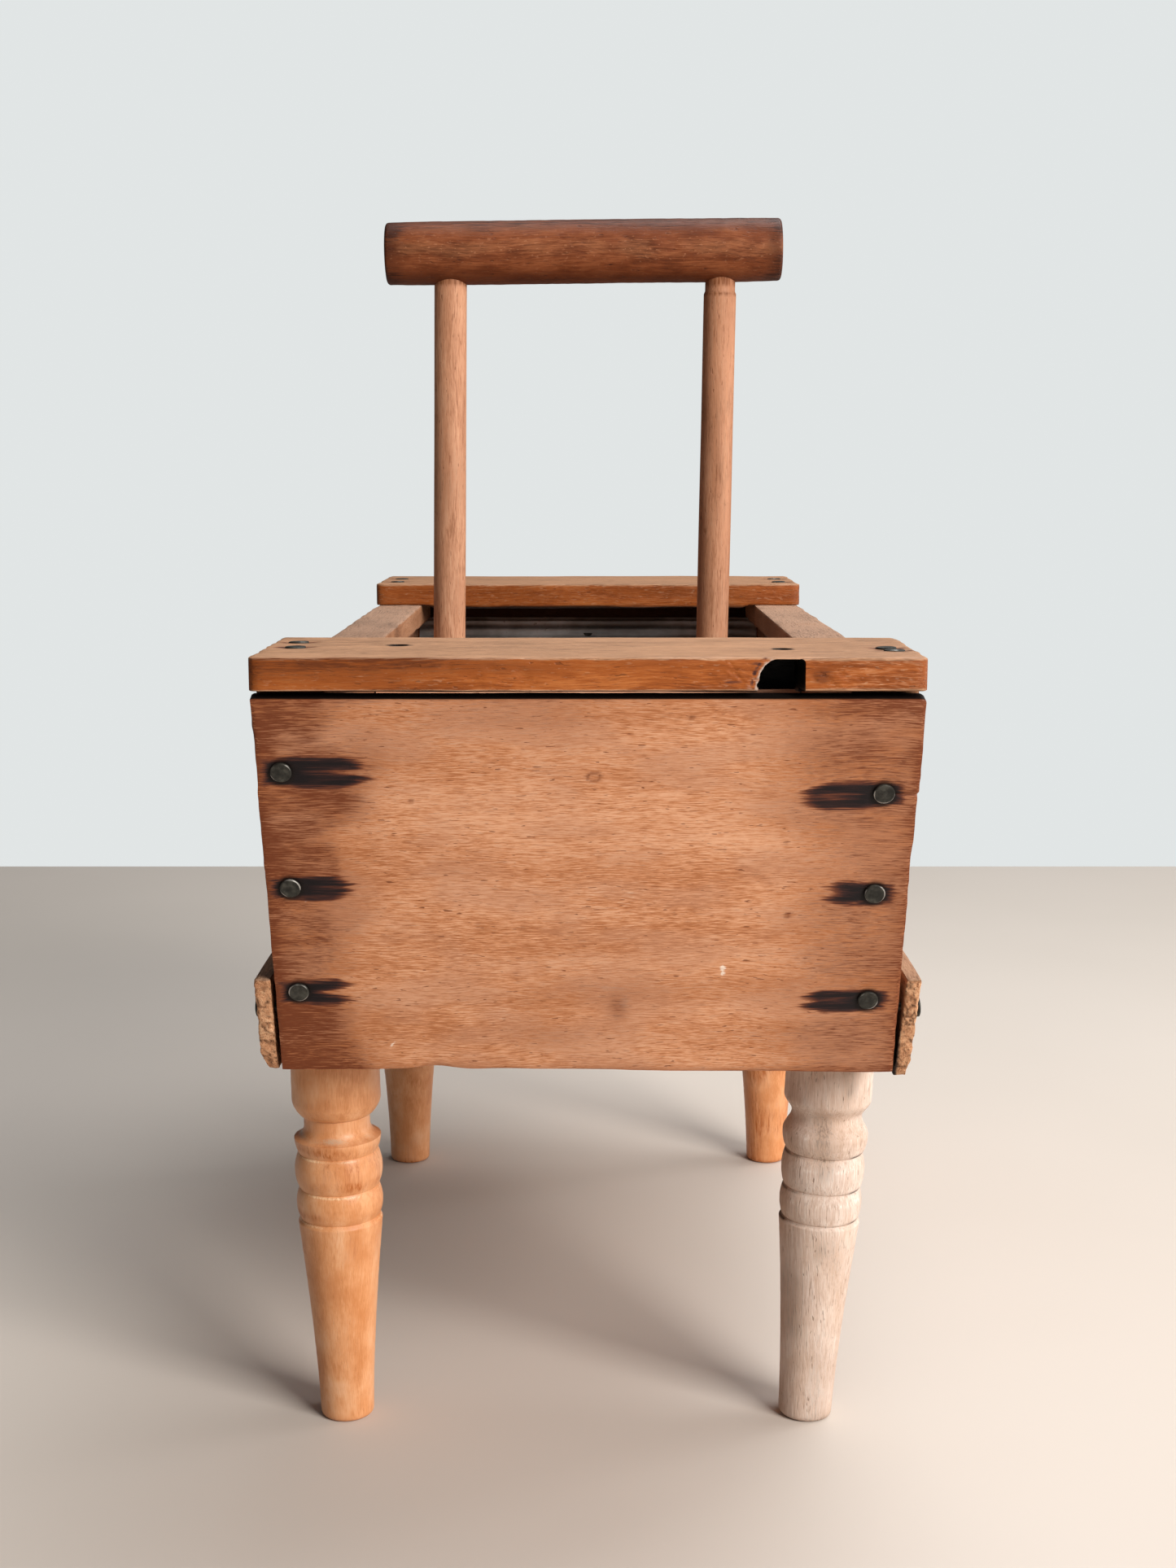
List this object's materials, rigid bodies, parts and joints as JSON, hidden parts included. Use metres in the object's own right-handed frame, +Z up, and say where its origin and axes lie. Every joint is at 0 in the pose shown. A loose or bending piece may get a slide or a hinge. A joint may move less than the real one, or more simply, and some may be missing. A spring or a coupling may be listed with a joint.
{
  "type": "small wooden trough table",
  "caption": "Small wooden trough with sloping ends and wide end rails on turned legs; a T-shaped handle rocks a ribbed dasher over a metal liner.",
  "frame": {"origin": "on the floor under the middle of the trough", "axes": "+Z up, +X to the right across the trough, +Y along the trough to its rear end"},
  "size_m": [0.1772, 0.3642, 0.3543],
  "materials": {
    "stained_pine": "old oil-stained softwood, satin, with dark iron stains",
    "worn_rail": "worn oiled wood, rubbed pale on top",
    "varnished_turning": "turned hardwood, thin orange varnish",
    "bare_turning": "bare bleached hardwood, dry",
    "dark_handle": "hand-darkened hardwood, mottled",
    "bare_dowel": "bare dowel, smooth and dry",
    "zinc_sheet": "ribbed grey sheet, dull",
    "iron": "blackened wire nail"
  },
  "bodies": {
    "tub": {"front_end_board": "stained_pine", "rear_end_board": "stained_pine", "left_side_board": "stained_pine", "right_side_board": "stained_pine", "bottom_board": "stained_pine", "front_top_rail": "worn_rail", "rear_top_rail": "worn_rail", "left_top_rail": "worn_rail", "right_top_rail": "worn_rail", "left_skirt_strip": "stained_pine", "right_skirt_strip": "stained_pine", "front_left_leg": "varnished_turning", "front_right_leg": "bare_turning", "rear_left_leg": "varnished_turning", "rear_right_leg": "varnished_turning", "front_board_nails": "iron", "rear_board_nails": "iron", "front_rail_nails": "iron", "rear_rail_nails": "iron", "left_strip_nails": "iron", "right_strip_nails": "iron", "bottom_nails": "iron", "ribbed_liner": "zinc_sheet", "liner_tacks": "iron"},
    "handle": {"handle_crossbar": "dark_handle", "left_handle_rod": "bare_dowel", "right_handle_rod": "bare_dowel", "rocker_shaft": "bare_dowel", "dasher_block": "stained_pine", "crossbar_brads": "iron", "shaft_brads": "iron", "dasher_brads": "iron"}
  },
  "joints": [
    {"name": "handle_rock", "type": "hinge", "parent": "tub", "child": "handle", "pos_m": [0, 0, 0.198], "axis": [1, 0, 0], "range_deg": [-72.5, 72.5]}
  ]
}
